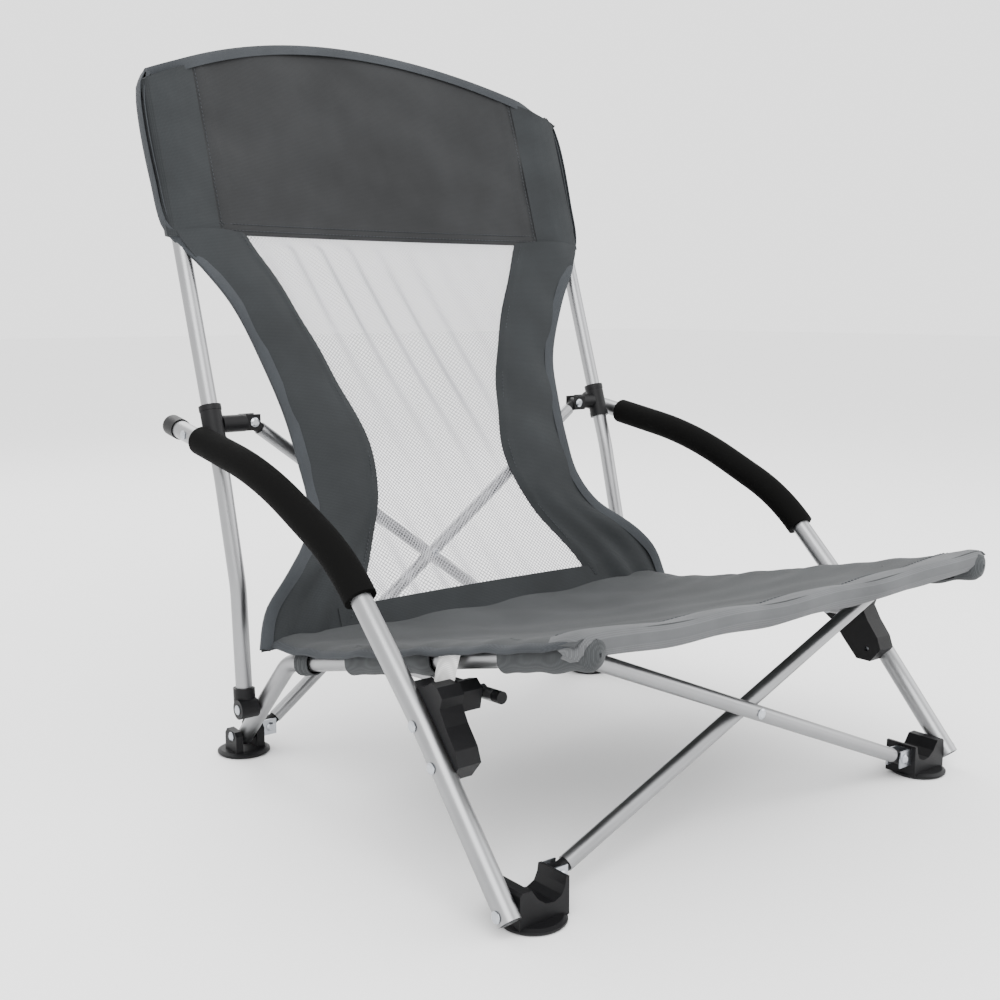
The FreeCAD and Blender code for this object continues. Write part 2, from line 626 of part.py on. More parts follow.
front_middle = crossbar("front_bar_a", front_a_y, FRONT_TOP, True)
crossbar("front_bar_b", front_b_y, FRONT_TOP, False)
back_middle = crossbar("back_bar_a", back_a_y, BACK_TOP, True)
crossbar("back_bar_b", back_b_y, BACK_TOP, False)
cross_reach = HALF_STAGGER + size("bar_radius") + 0.1


def cross_rivet(name, y, middle):
    return rivet(name, (0, y - cross_reach, middle.z), (0, y + cross_reach, middle.z))


sub_part(cross_rivet("front_cross_turned", FRONT_BAR_Y, front_middle), "front_cross_rivet")
# Bar b of the back pair carries the centre rivet and the pin of its low right clevis.
low_pin = add("Part::Mirroring", "back_low_pin")
low_pin.Source = clevis_pin("back_low_pin_source", back_b_y, LOW_Z)
low_pin.Base = Vector(0, 0, 0)
low_pin.Normal = Vector(1, 0, 0)
sub_part(group("back_bar_rivet_pair", [cross_rivet("back_cross_turned", BACK_BAR_Y, back_middle),
                                       low_pin]), "back_bar_rivets")

# ------------------------------------------------------------------ fabric
# The seat panel lies just above the rails, parallel to them.
rail_slope = (RAIL_LINE[2][1] - RAIL_LINE[1][1]) / (RAIL_LINE[2][0] - RAIL_LINE[1][0])
rail_angle = math.degrees(math.atan(rail_slope))
seat_front_y = -314.0
seat_rear_y = 50.0
seat_base_z = RAIL_LINE[1][1] + (seat_rear_y - RAIL_LINE[1][0]) * rail_slope + RAIL_R + size("seat_gap")
seat_length = (seat_rear_y - seat_front_y) / math.cos(math.radians(rail_angle))
seat_half = size("seat_half_width")
seat_outline = [(-seat_half, 0), (seat_half, 0), (seat_half, seat_length - 10),
                (seat_half - 14, seat_length), (-seat_half + 14, seat_length),
                (-seat_half, seat_length - 10)]
seat = plate_body("seat_slab", "XY_Plane", seat_outline, "sizes.seat_thickness", Placement())
seat.Placement = Placement(Vector(0, seat_rear_y, seat_base_z),
                           Rotation(Vector(0, 0, 1), 180).multiply(Rotation(Vector(1, 0, 0), -rail_angle)))
sub_part(seat, "seat_fabric")

# The back panel stands in one plane from the rear of the seat to the tops of
# the uprights, narrow at the waist and arched at the top.
back_low = (84.0, 150.0)
back_high = (291.0, 632.0)
back_run = math.hypot(back_high[0] - back_low[0], back_high[1] - back_low[1])
back_angle = math.degrees(math.atan2(back_high[1] - back_low[1], back_high[0] - back_low[0]))
half_top = size("back_half_top")
half_waist = size("back_half_waist")
back_side = [(0.0, 232.0), (0.045, 222.0), (0.14, half_waist + 11), (0.20, half_waist),
             (0.36, half_waist), (0.46, half_waist + 13), (0.59, 207.0), (0.70, 228.0),
             (1.0, half_top)]
arch_rise = 62.0
arch = [(half_top * math.cos(t), back_run + arch_rise * math.sin(t))
        for t in [math.pi * k / 12 for k in range(1, 12)]]
right_edge = [(w, back_run * f) for f, w in back_side]
left_edge = [(-w, back_run * f) for f, w in reversed(back_side)]
back = plate_body("back_slab", "XY_Plane", right_edge + arch + left_edge, "sizes.back_thickness",
                  Placement())
back.Placement = Placement(Vector(0, back_low[0], back_low[1]), Rotation(Vector(1, 0, 0), back_angle))
sub_part(back, "back_fabric")

# ------------------------------------------------------------------ output
doc.recompute()
for obj in doc.Objects:
    if "Invalid" in obj.State or "Error" in obj.State:
        raise RuntimeError("%s (%s) failed: %s" % (obj.Name, obj.Label, obj.State))
for label, obj in made.items():
    shape = obj.Shape
    if shape.isNull() or not shape.isValid() or not shape.Solids:
        raise RuntimeError("%s has no valid solid" % label)
os.makedirs("parts", exist_ok=True)
for label, obj in made.items():
    obj.Shape.exportStep("parts/%s.step" % label)
box = FreeCAD.BoundBox()
for obj in made.values():
    box.add(obj.Shape.BoundBox)
print("nodes", len(made), "box", box)
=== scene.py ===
import json
import math

import bmesh
import bpy
from bpy.props import FloatProperty, FloatVectorProperty, IntProperty, PointerProperty
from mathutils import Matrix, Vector


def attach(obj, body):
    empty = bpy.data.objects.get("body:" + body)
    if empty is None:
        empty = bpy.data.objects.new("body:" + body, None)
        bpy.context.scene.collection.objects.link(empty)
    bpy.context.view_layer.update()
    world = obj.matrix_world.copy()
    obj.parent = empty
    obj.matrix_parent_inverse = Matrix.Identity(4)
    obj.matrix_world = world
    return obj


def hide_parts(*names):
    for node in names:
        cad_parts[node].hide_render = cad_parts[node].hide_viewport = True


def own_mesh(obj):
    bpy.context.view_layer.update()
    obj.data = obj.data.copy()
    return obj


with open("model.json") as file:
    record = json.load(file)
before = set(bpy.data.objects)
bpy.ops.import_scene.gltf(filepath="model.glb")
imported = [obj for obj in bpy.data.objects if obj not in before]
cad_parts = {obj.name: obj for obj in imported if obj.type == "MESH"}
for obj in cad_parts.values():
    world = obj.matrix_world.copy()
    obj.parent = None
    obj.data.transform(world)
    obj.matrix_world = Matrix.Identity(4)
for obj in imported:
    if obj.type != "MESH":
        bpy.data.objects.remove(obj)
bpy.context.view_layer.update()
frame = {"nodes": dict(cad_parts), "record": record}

bl_info = {
    "name": "Folding camp chair",
    "version": (1, 0, 0),
    "blender": (4, 5, 0),
    "location": "3D View > Sidebar > Camp Chair",
    "description": "Builds the sewn seat, back and finishes of a low folding camp chair",
    "category": "Object",
}

# The sewn back, row by row: height, depth in the middle, depth at the side,
# half width, half width of the net.
BACK_ROWS = (
    (0.120, 0.082, 0.078, 0.250, 0.158),
    (0.155, 0.102, 0.086, 0.238, 0.138),
    (0.180, 0.116, 0.094, 0.213, 0.121),
    (0.205, 0.129, 0.114, 0.182, 0.105),
    (0.235, 0.142, 0.132, 0.167, 0.091),
    (0.275, 0.156, 0.151, 0.166, 0.085),
    (0.315, 0.176, 0.168, 0.169, 0.094),
    (0.360, 0.199, 0.188, 0.178, 0.110),
    (0.420, 0.226, 0.202, 0.203, 0.136),
    (0.485, 0.252, 0.223, 0.246, 0.171),
    (0.530, 0.264, 0.238, 0.251, 0.190),
    (0.600, 0.286, 0.260, 0.252, 0.200),
    (0.632, 0.297, 0.271, 0.247, 0.200),
    (0.690, 0.325, 0.290, 0.247, 0.200),
)
MID, SIDE, HALF, NET_HALF = 1, 2, 3, 4
HEAD_LOW = 0.485
CORNER = 0.632
ARCH_RISE = 0.054
HEAD_HALF = 0.203
UPRIGHT_X = 0.239
RAIL_X = 0.223
# A point on each straight tube's centre line, and the tube's slope there.
RAIL_Y, RAIL_Z, RAIL_SLOPE = 0.077, 0.1062, -0.23562
UPRIGHT_Y, UPRIGHT_Z, UPRIGHT_LEAN = 0.162, 0.262, 0.3233
SEAT_FRONT = -0.314
SEAT_REAR = 0.082


# ------------------------------------------------------------------ settings
class ChairClothSettings(bpy.types.PropertyGroup):
    thickness: FloatProperty(name="Cloth thickness", description="Thickness of the coated cloth",
                             default=0.0012, min=0.0005, max=0.003, subtype="DISTANCE", unit="LENGTH")
    tape_width: FloatProperty(name="Binding width", description="Width of the folded edge binding",
                              default=0.0095, min=0.004, max=0.02, subtype="DISTANCE", unit="LENGTH")
    net_pitch: FloatProperty(name="Net pitch", description="Diagonal of one opening of the net",
                             default=0.0041, min=0.003, max=0.012, subtype="DISTANCE", unit="LENGTH")
    net_strand: FloatProperty(name="Net strand", description="Thickness of one strand of the net",
                              default=0.0012, min=0.0004, max=0.002, subtype="DISTANCE", unit="LENGTH")
    head_colour: FloatVectorProperty(name="Head panel", description="Colour of the head panel",
                                     default=(0.026, 0.0268, 0.028), min=0, max=1, subtype="COLOR")
    band_colour: FloatVectorProperty(name="Side bands", description="Colour of the side bands",
                                     default=(0.0265, 0.0292, 0.0312), min=0, max=1, subtype="COLOR")
    seat_colour: FloatVectorProperty(name="Seat", description="Colour of the seat cloth",
                                     default=(0.054, 0.0575, 0.060), min=0, max=1, subtype="COLOR")
    front_colour: FloatVectorProperty(name="Front band", description="Colour of the band at the seat's front",
                                      default=(0.125, 0.129, 0.134), min=0, max=1, subtype="COLOR")
    tape_colour: FloatVectorProperty(name="Binding", description="Colour of the edge binding",
                                     default=(0.046, 0.0505, 0.056), min=0, max=1, subtype="COLOR")
    net_colour: FloatVectorProperty(name="Net", description="Colour of the net",
                                    default=(0.62, 0.62, 0.65), min=0, max=1, subtype="COLOR")


class ChairFrameSettings(bpy.types.PropertyGroup):
    tube_colour: FloatVectorProperty(name="Tubes", description="Colour of the coated tubes",
                                     default=(0.275, 0.277, 0.283), min=0, max=1, subtype="COLOR")
    plastic_colour: FloatVectorProperty(name="Mouldings", description="Colour of the black mouldings",
                                        default=(0.005, 0.005, 0.0056), min=0, max=1, subtype="COLOR")
    zinc_colour: FloatVectorProperty(name="Zinc", description="Colour of the plated clevises and rivets",
                                     default=(0.42, 0.44, 0.47), min=0, max=1, subtype="COLOR")
    foam_colour: FloatVectorProperty(name="Grips", description="Colour of the foam grips",
                                     default=(0.0040, 0.0040, 0.0039), min=0, max=1, subtype="COLOR")


class ChairStageSettings(bpy.types.PropertyGroup):
    lens: FloatProperty(name="Lens", description="Focal length of the camera in millimetres",
                        default=46.4, min=20, max=120)
    key_power: FloatProperty(name="Key light", description="Power of the large soft light",
                             default=60.0, min=0, max=500, unit="POWER")
    fill_power: FloatProperty(name="Fill light", description="Power of the light opposite",
                              default=26.0, min=0, max=500, unit="POWER")
    world_strength: FloatProperty(name="Surroundings", description="Brightness of the surroundings",
                                  default=2.1, min=0, max=5)


# ------------------------------------------------------------- mesh helpers
def row_value(rows, at, column):
    """Smooth value of a column of a pattern table at a height."""
    if at <= rows[0][0]:
        return rows[0][column]
    if at >= rows[-1][0]:
        return rows[-1][column]
    i = max(k for k in range(len(rows) - 1) if rows[k][0] <= at)
    h0, h1 = rows[i][0], rows[i + 1][0]
    v0, v1 = rows[i][column], rows[i + 1][column]
    slope = (v1 - v0) / (h1 - h0)
    before = (v0 - rows[i - 1][column]) / (h0 - rows[i - 1][0]) if i else slope
    after = (rows[i + 2][column] - v1) / (rows[i + 2][0] - h1) if i + 2 < len(rows) else slope
    m0, m1 = (before + slope) / 2, (slope + after) / 2
    t = (at - h0) / (h1 - h0)
    span = h1 - h0
    return ((2 * t**3 - 3 * t**2 + 1) * v0 + (t**3 - 2 * t**2 + t) * span * m0
            + (3 * t**2 - 2 * t**3) * v1 + (t**3 - t**2) * span * m1)


def back_depth(x, z):
    """Depth of the sewn back at a point, hollow between its two sides."""
    half = row_value(BACK_ROWS, z, HALF)
    share = min(1.0, abs(x) / half)
    side = row_value(BACK_ROWS, z, SIDE)
    mid = row_value(BACK_ROWS, z, MID)
    return side + (mid - side) * (1 - share * share)


def back_point(x, z, out=0.0):
    """Point of the sewn back; out lifts it towards the sitter."""
    return Vector((x, back_depth(x, z) - out * 0.91, z + out * 0.41))


def arch_height(x):
    """Height of the back's arched top."""
    return CORNER + ARCH_RISE * (1 - (x / 0.248) ** 2)


def rail_height(y):
    """Height of the seat tube's centre line."""
    return RAIL_Z + RAIL_SLOPE * (y - RAIL_Y)


def seat_point(x, y, up=0.0):
    """Point of the slung seat, with its sag and ripples."""
    along = (y - SEAT_FRONT) / (SEAT_REAR - SEAT_FRONT)
    edge = rail_height(y) + 0.0118
    lift = 0.013 * max(0.0, (along - 0.72) / 0.28) ** 2
    share = min(1.0, abs(x) / 0.215)
    sag = 0.017 * math.sin(math.pi * min(1.0, max(0.0, along * 0.86 + 0.07))) ** 0.8
    fall = 0.0045 * max(0.0, (abs(x) - 0.226) / 0.012) ** 2
    ripple = 0.0014 * math.sin(x * 61 + y * 18) * math.sin(y * 43 + 1.2) * (1 - share**4)
    ripple += 0.0010 * share**6 * math.sin(y * 118 + x * 3) * math.sin(y * 37 + 0.6)
    return Vector((x, y, edge + lift - sag * (1 - share**2.4) - fall + ripple + up))


def deselect_all():
    for other in bpy.context.selected_objects:
        other.select_set(False)


def make_active(piece):
    deselect_all()
    piece.select_set(True)
    bpy.context.view_layer.objects.active = piece


def cloth_grid(name, across, along, place):
    """Grid of cloth whose points are placed by a function of two shares from 0 to 1."""
    deselect_all()
    bpy.ops.mesh.primitive_grid_add(x_subdivisions=across, y_subdivisions=along, size=1.0)
    piece = bpy.context.object
    piece.name = name
    for v in piece.data.vertices:
        v.co = place(v.co.x + 0.5, v.co.y + 0.5)
    flow = piece.data.uv_layers[0].data
    for loop in piece.data.loops:
        spot = piece.data.vertices[loop.vertex_index].co
        flow[loop.index].uv = (spot.x + spot.y * 0.2, math.hypot(spot.z, spot.y) + spot.z * 0.2)
    return piece


def apply_modifier(piece, kind, **values):
    """Add a modifier to a piece, set it and apply it."""
    make_active(piece)
    bpy.ops.object.modifier_add(type=kind)
    modifier = piece.modifiers[-1]
    for key, value in values.items():
        setattr(modifier, key, value)
    bpy.ops.object.modifier_apply(modifier=modifier.name)


def smooth(piece, degrees=40):
    make_active(piece)
    bpy.ops.object.shade_smooth_by_angle(angle=math.radians(degrees))


def give_wall(piece, thickness):
    apply_modifier(piece, "SOLIDIFY", thickness=thickness, offset=0.0, use_even_offset=True)
    smooth(piece)


def face_outward(piece):
    """Merge doubles, then turn every face outwards."""
    make_active(piece)
    bpy.ops.object.mode_set(mode="EDIT")
    bpy.ops.mesh.select_all(action="SELECT")
    bpy.ops.mesh.remove_doubles(threshold=0.00005)
    bpy.ops.mesh.normals_make_consistent(inside=False)
    bpy.ops.object.mode_set(mode="OBJECT")


def dress(piece, material, body, squash_from=None):
    """Give a piece its finish and the body it rides; given squash_from, the piece gets its own copy of its
    mesh.
    """
    piece.data.materials.clear()
    piece.data.materials.append(material)
    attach(piece, body)
    if squash_from is not None:
        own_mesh(piece)


def binding(name, path, inward, front, width, rise=0.0016):
    """Tape folded over an edge: path, inward and front are functions of a share."""
    steps = 220
    section = ((1.0, 0.75), (0.55, 1.0), (0.1, 1.0), (-0.13, 0.6), (-0.18, 0.0),
               (-0.13, -0.6), (0.1, -1.0), (0.55, -1.0), (1.0, -0.75))

    def place(s, t):
        k = min(len(section) - 1, int(round(t * (len(section) - 1))))
        reach, side = section[k]
        return path(s) + inward(s) * width * reach + front(s) * rise * side

    piece = cloth_grid(name, steps, len(section) - 1, place)
    face_outward(piece)
    give_wall(piece, 0.0009)
    return piece


# ---------------------------------------------------------------- materials
def new_material(name, colour, roughness, metallic=0.0):
    """Plain material with its nodes, for the finishes to build on."""
    material = bpy.data.materials.new(name)
    material.use_nodes = True
    nodes, links = material.node_tree.nodes, material.node_tree.links
    shader = nodes["Principled BSDF"]
    shader.inputs["Roughness"].default_value = roughness
    shader.inputs["Metallic"].default_value = metallic
    shader.inputs["Base Color"].default_value = (*colour, 1)
    return material, nodes, links, shader


def woven(name, colour, weave=1500.0, shade=0.16, bump=0.25, roughness=0.82, across=("X", "Z")):
    """Coated plain weave: crossed threads, slow shade changes and a dull sheen."""
    material, nodes, links, shader = new_material(name, colour, roughness)
    shader.inputs["Sheen Weight"].default_value = 0.04
    shader.inputs["Sheen Roughness"].default_value = 0.5
    shader.inputs["Specular IOR Level"].default_value = 0.14
    place = nodes.new("ShaderNodeTexCoord")
    threads = []
    for direction in across:
        wave = nodes.new("ShaderNodeTexWave")
        wave.bands_direction = direction
        wave.inputs["Scale"].default_value = weave / 6.3
        wave.inputs["Distortion"].default_value = 0.4
        wave.inputs["Detail"].default_value = 1.0
        links.new(place.outputs["Object"], wave.inputs["Vector"])
        threads.append(wave)
    cross = nodes.new("ShaderNodeMath")
    cross.operation = "MULTIPLY"
    links.new(threads[0].outputs["Fac"], cross.inputs[0])
    links.new(threads[1].outputs["Fac"], cross.inputs[1])
    cloud = nodes.new("ShaderNodeTexNoise")
    cloud.inputs["Scale"].default_value = 17.0
    cloud.inputs["Detail"].default_value = 6.0
    links.new(place.outputs["Object"], cloud.inputs["Vector"])
    tone = nodes.new("ShaderNodeValToRGB")
    tone.color_ramp.elements[0].position = 0.3
    tone.color_ramp.elements[0].color = (*[c * (1 - shade) for c in colour], 1)
    tone.color_ramp.elements[1].position = 0.72
    tone.color_ramp.elements[1].color = (*[c * (1 + shade) for c in colour], 1)
    links.new(cloud.outputs["Fac"], tone.inputs["Fac"])
    mix = nodes.new("ShaderNodeMix")
    mix.data_type = "RGBA"
    mix.blend_type = "MULTIPLY"
    mix.inputs["Factor"].default_value = 0.35
    links.new(tone.outputs["Color"], mix.inputs["A"])
    links.new(cross.outputs["Value"], mix.inputs["B"])
    links.new(mix.outputs["Result"], shader.inputs["Base Color"])
    relief = nodes.new("ShaderNodeBump")
    relief.inputs["Strength"].default_value = bump
    relief.inputs["Distance"].default_value = 0.0004
    links.new(cross.outputs["Value"], relief.inputs["Height"])
    links.new(relief.outputs["Normal"], shader.inputs["Normal"])
    return material


def grained(name, colour, roughness, scale, bump, metallic=0.0, shade=0.12, spread=0.1, gloss=0.5):
    """Fine grain for mouldings, foam and coated metal."""
    material, nodes, links, shader = new_material(name, colour, roughness, metallic)
    shader.inputs["Specular IOR Level"].default_value = gloss
    place = nodes.new("ShaderNodeTexCoord")
    grain = nodes.new("ShaderNodeTexNoise")
    grain.inputs["Scale"].default_value = scale
    grain.inputs["Detail"].default_value = 5.0
    links.new(place.outputs["Object"], grain.inputs["Vector"])
    wear = nodes.new("ShaderNodeTexNoise")
    wear.inputs["Scale"].default_value = 28.0
    wear.inputs["Detail"].default_value = 4.0
    links.new(place.outputs["Object"], wear.inputs["Vector"])
    tone = nodes.new("ShaderNodeValToRGB")
    tone.color_ramp.elements[0].color = (*[c * (1 - shade) for c in colour], 1)
    tone.color_ramp.elements[1].color = (*[min(1, c * (1 + shade)) for c in colour], 1)
    links.new(wear.outputs["Fac"], tone.inputs["Fac"])
    links.new(tone.outputs["Color"], shader.inputs["Base Color"])
    dull = nodes.new("ShaderNodeMapRange")
    dull.inputs["To Min"].default_value = max(0.05, roughness - spread)
    dull.inputs["To Max"].default_value = min(1.0, roughness + spread)
    links.new(wear.outputs["Fac"], dull.inputs["Value"])
    links.new(dull.outputs["Result"], shader.inputs["Roughness"])
    relief = nodes.new("ShaderNodeBump")
    relief.inputs["Strength"].default_value = bump
    relief.inputs["Distance"].default_value = 0.0005
    links.new(grain.outputs["Fac"], relief.inputs["Height"])
    links.new(relief.outputs["Normal"], shader.inputs["Normal"])
    return material


def material_named(name):
    found = bpy.data.materials.get(name)
    if found is None:
        raise RuntimeError("material %s is missing; run the finishes first" % name)
    return found


class CHAIR_OT_finishes(bpy.types.Operator):
    """Make the chair's finishes and paint the frame's tubes, mouldings and fasteners"""
    bl_idname = "chair.finishes"
    bl_label = "Finishes"

    def execute(self, context):
        cloth = context.scene.camp_chair_cloth
        metal = context.scene.camp_chair_frame
        woven("Head cloth", cloth.head_colour)
        woven("Band cloth", cloth.band_colour)
        woven("Seat cloth", cloth.seat_colour, across=("X", "Y"))
        woven("Front band cloth", cloth.front_colour, across=("X", "Y"))
        woven("Binding tape", cloth.tape_colour, weave=2600.0, bump=0.5)
        woven("Net yarn", cloth.net_colour, shade=0.05, bump=0.1, roughness=0.65)
        woven("Label ribbon", (0.78, 0.78, 0.77), shade=0.04, bump=0.1, roughness=0.55)
        finishes = {
            "silver_tube": grained("Silver coat", metal.tube_colour, 0.36, 900, 0.05, metallic=1.0),
            "zinc_steel": grained("Zinc plate", metal.zinc_colour, 0.30, 500, 0.10, metallic=1.0),
            "black_plastic": grained("Black moulding", metal.plastic_colour, 0.46, 1400, 0.25, gloss=0.16),
            "grip_foam": grained("Foam grip", metal.foam_colour, 0.72, 1100, 0.5, gloss=0.02),
        }
        slots = {s["node"]: s["material_slot"] for s in frame["record"]["subparts"]}
        for node, piece in frame["nodes"].items():
            if slots[node] in finishes:
                piece.data.materials.clear()
                piece.data.materials.append(finishes[slots[node]])
        return {"FINISHED"}


def stitch_row(name, points, pitch=0.0042):
    """Row of raised stitches: one rounded stitch, repeated along a line."""
    line = bpy.data.curves.new(name + "_line", "CURVE")
    line.dimensions = "3D"
    run = line.splines.new("POLY")
    run.points.add(len(points) - 1)
    for knot, point in zip(run.points, points):
        knot.co = (*point, 1)
    guide = bpy.data.objects.new(name + "_line", line)
    bpy.context.scene.collection.objects.link(guide)
    deselect_all()
    bpy.ops.mesh.primitive_cube_add(size=1.0)
    row = bpy.context.object
    row.name = name
    for v in row.data.vertices:
        v.co = Vector((v.co.x * 0.0028, v.co.y * 0.0008, v.co.z * 0.0008))
    apply_modifier(row, "BEVEL", width=0.0003, segments=1)
    apply_modifier(row, "ARRAY", fit_type="FIT_CURVE", curve=guide, use_relative_offset=False,
                   use_constant_offset=True, constant_offset_displace=(pitch, 0, 0))
    apply_modifier(row, "CURVE", object=guide, deform_axis="POS_X")
    bpy.data.objects.remove(guide)
    bpy.data.curves.remove(line)
    smooth(row)
    return row


# ------------------------------------------------------------------ the back
class CHAIR_OT_head_panel(bpy.types.Operator):
    """Sew the solid panel behind the sitter's head, arched along its top"""
    bl_idname = "chair.head_panel"
    bl_label = "Head panel"

    def execute(self, context):
        cloth = context.scene.camp_chair_cloth

        def place(s, t):
            x = (s * 2 - 1) * HEAD_HALF
            z = HEAD_LOW + (arch_height(x) - HEAD_LOW) * t
            crease = 0.0013 * math.sin(x * 34 + z * 60) * math.sin(z * 27 + x * 9) * min(1.0, t * 4)
            crease += 0.0012 * math.exp(-((abs(x) - 0.186) / 0.003) ** 2)
            crease += 0.0010 * math.exp(-((t - 0.035) / 0.014) ** 2)
            return back_point(x, z, crease)

        panel = cloth_grid("back_head_panel", 72, 44, place)
        give_wall(panel, cloth.thickness)
        dress(panel, material_named("Head cloth"), "upright_left", -UPRIGHT_X)
        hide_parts("back_fabric")
        return {"FINISHED"}


class CHAIR_OT_head_sleeves(bpy.types.Operator):
    """Sew the pockets that slide over the tops of both uprights"""
    bl_idname = "chair.head_sleeves"
    bl_label = "Head sleeves"

    def execute(self, context):
        cloth = context.scene.camp_chair_cloth
        # Half width and depth from the tube's centre line, round the pocket.
        section = ((0.250, 0.0060), (0.2525, -0.0040), (0.2470, -0.0105), (0.2390, -0.0112),
                   (0.2310, -0.0110), (0.2200, -0.0095), (0.1970, None))
        behind = ((0.250, 0.0062), (0.2440, 0.0105), (0.2370, 0.0110), (0.2300, 0.0070),
                  (0.2240, 0.0000), (0.2170, -0.0060))
        for side, label in ((-1, "left"), (1, "right")):
            outline = list(reversed(behind))[:-1] + list(section)

            def place(s, t, side=side, outline=outline):
                k = s * (len(outline) - 1)
                i = min(len(outline) - 2, int(k))
                corner = []
                for half, depth in outline[i:i + 2]:
                    slant = max(0.0, min(1.0, (half - 0.222) / 0.026))
                    foot = 0.474 + 0.008 * slant * slant * (3 - 2 * slant)
                    z = foot + (arch_height(half) - 0.004 - foot) * t
                    tube = UPRIGHT_Y + (z - UPRIGHT_Z) * UPRIGHT_LEAN
                    pinch = 1 - 0.85 * max(0.0, (t - 0.965) / 0.035)
                    if depth is None:
                        y = back_depth(half, z) - 0.0012
                    else:
                        front = tube - 0.0112
                        y = front + (tube + depth - front) * pinch
                    corner.append(Vector((side * half, y, z)))
                return corner[0].lerp(corner[1], k - i)

            sleeve = cloth_grid("back_sleeve_" + label, 44, 44, place)
            give_wall(sleeve, cloth.thickness)
            dress(sleeve, material_named("Band cloth"), "upright_" + label)
        return {"FINISHED"}


class CHAIR_OT_side_bands(bpy.types.Operator):
    """Sew the curved bands beside the net, flared at the bottom to reach the seat tubes"""
    bl_idname = "chair.side_bands"
    bl_label = "Side bands"

    def execute(self, context):
        cloth = context.scene.camp_chair_cloth
        for side, label in ((-1, "left"), (1, "right")):
            def place(s, t, side=side):
                z = 0.120 + (HEAD_LOW + 0.002 - 0.120) * t
                inner = row_value(BACK_ROWS, z, NET_HALF) - 0.004
                outer = row_value(BACK_ROWS, z, HALF)
                x = side * (inner + (outer - inner) * s)
                low = max(0.0, 1 - t * 3.2)
                puff = 0.0060 * math.sin(math.pi * s) * (1 - low)
                fold = low * 0.0028 * math.sin(s * 17 + t * 9) * math.sin(math.pi * s)
                wave = 0.0011 * math.sin(z * 88 + s * 5)
                wave += 0.0011 * math.exp(-((s - 0.09) / 0.035) ** 2)
                return back_point(x, z, 0.0006 + puff + fold + wave)

            band = cloth_grid("back_band_" + label, 26, 96, place)
            give_wall(band, cloth.thickness)
            dress(band, material_named("Band cloth"), "upright_left", -UPRIGHT_X)
        return {"FINISHED"}


class CHAIR_OT_net(bpy.types.Operator):
    """Knit the open net panel as real strands, so that the crossbars show through"""
    bl_idname = "chair.net"
    bl_label = "Net panel"

    def execute(self, context):
        cloth = context.scene.camp_chair_cloth
        middle = 0.330
        for label, low, high, open_row, area in (
                ("lower", 0.138, middle, 0.5, 0.0395),
                ("upper", middle, HEAD_LOW + 0.006, -0.5, 0.0480)):
            net = self.knit("back_net_" + label, low, high, open_row, cloth)
            dress(net, material_named("Net yarn"), "upright_left", -UPRIGHT_X)
        return {"FINISHED"}

    def knit(self, name, low, high, open_row, cloth):
        """One length of net; its open row of knots meets the other length's."""
        half = 0.178
        across = int(2 * half / cloth.net_pitch)
        along = int((high - low) * 1.09 / cloth.net_pitch)
        deselect_all()
        bpy.ops.mesh.primitive_grid_add(x_subdivisions=across, y_subdivisions=along, size=1.0)
        net = bpy.context.object
        net.name = name
        bpy.ops.object.mode_set(mode="EDIT")
        bpy.ops.mesh.select_mode(type="EDGE")
        bpy.ops.mesh.select_all(action="SELECT")
        bpy.ops.mesh.poke()
        bpy.ops.mesh.select_all(action="DESELECT")
        mesh = bmesh.from_edit_mesh(net.data)
        for edge in mesh.edges:
            run = edge.verts[0].co - edge.verts[1].co
            straight = abs(run.x) < 1e-6 or abs(run.y) < 1e-6
            edge.select_set(straight and len(edge.link_faces) == 2)
        bmesh.update_edit_mesh(net.data)
        bpy.ops.mesh.dissolve_edges(use_verts=False)
        bpy.ops.mesh.select_mode(type="FACE")
        bpy.ops.mesh.select_all(action="DESELECT")
        mesh = bmesh.from_edit_mesh(net.data)
        for face in mesh.faces:
            spot = face.calc_center_median()
            z = low + (high - low) * (spot.y + 0.5)
            meets = abs(spot.y - open_row) < 0.25 / along
            outside = abs(spot.x * 2 * half) > row_value(BACK_ROWS, z, NET_HALF) + 0.003
            face.select_set(outside or meets)
        bmesh.update_edit_mesh(net.data)
        bpy.ops.mesh.delete(type="FACE")
        bpy.ops.object.mode_set(mode="OBJECT")
        for v in net.data.vertices:
            x = v.co.x * 2 * half
            z = low + (high - low) * (v.co.y + 0.5)
            share = min(1.0, abs(x) / row_value(BACK_ROWS, z, NET_HALF))
            slack = (1 - share**4) * 0.0036 * math.sin(x * 175 + z * 62)
            slack *= 0.6 + 0.4 * math.sin(z * 21 + x * 13)
            tucked = max(0.0, min(1.0, (z - 0.474) / 0.010))
            v.co = back_point(x, z, slack * (1 - tucked) - 0.0016 - 0.0026 * tucked)
        apply_modifier(net, "WIREFRAME", thickness=cloth.net_strand, use_even_offset=False,
                       use_boundary=True, use_replace=True)
        return net


class CHAIR_OT_low_band(bpy.types.Operator):
    """Sew the dark strip that joins the foot of the net to the seat"""
    bl_idname = "chair.low_band"
    bl_label = "Low band"

    def execute(self, context):
        cloth = context.scene.camp_chair_cloth

        def place(s, t):
            x = (s * 2 - 1) * 0.165
            z = 0.114 + 0.030 * t
            pull = 0.0012 * math.sin(x * 58 + 0.8) * (1 - t)
            return back_point(x, z, 0.0020 + pull)

        strip = cloth_grid("back_low_band", 60, 10, place)
        give_wall(strip, cloth.thickness)
        dress(strip, material_named("Band cloth"), "upright_left", -UPRIGHT_X)
        return {"FINISHED"}


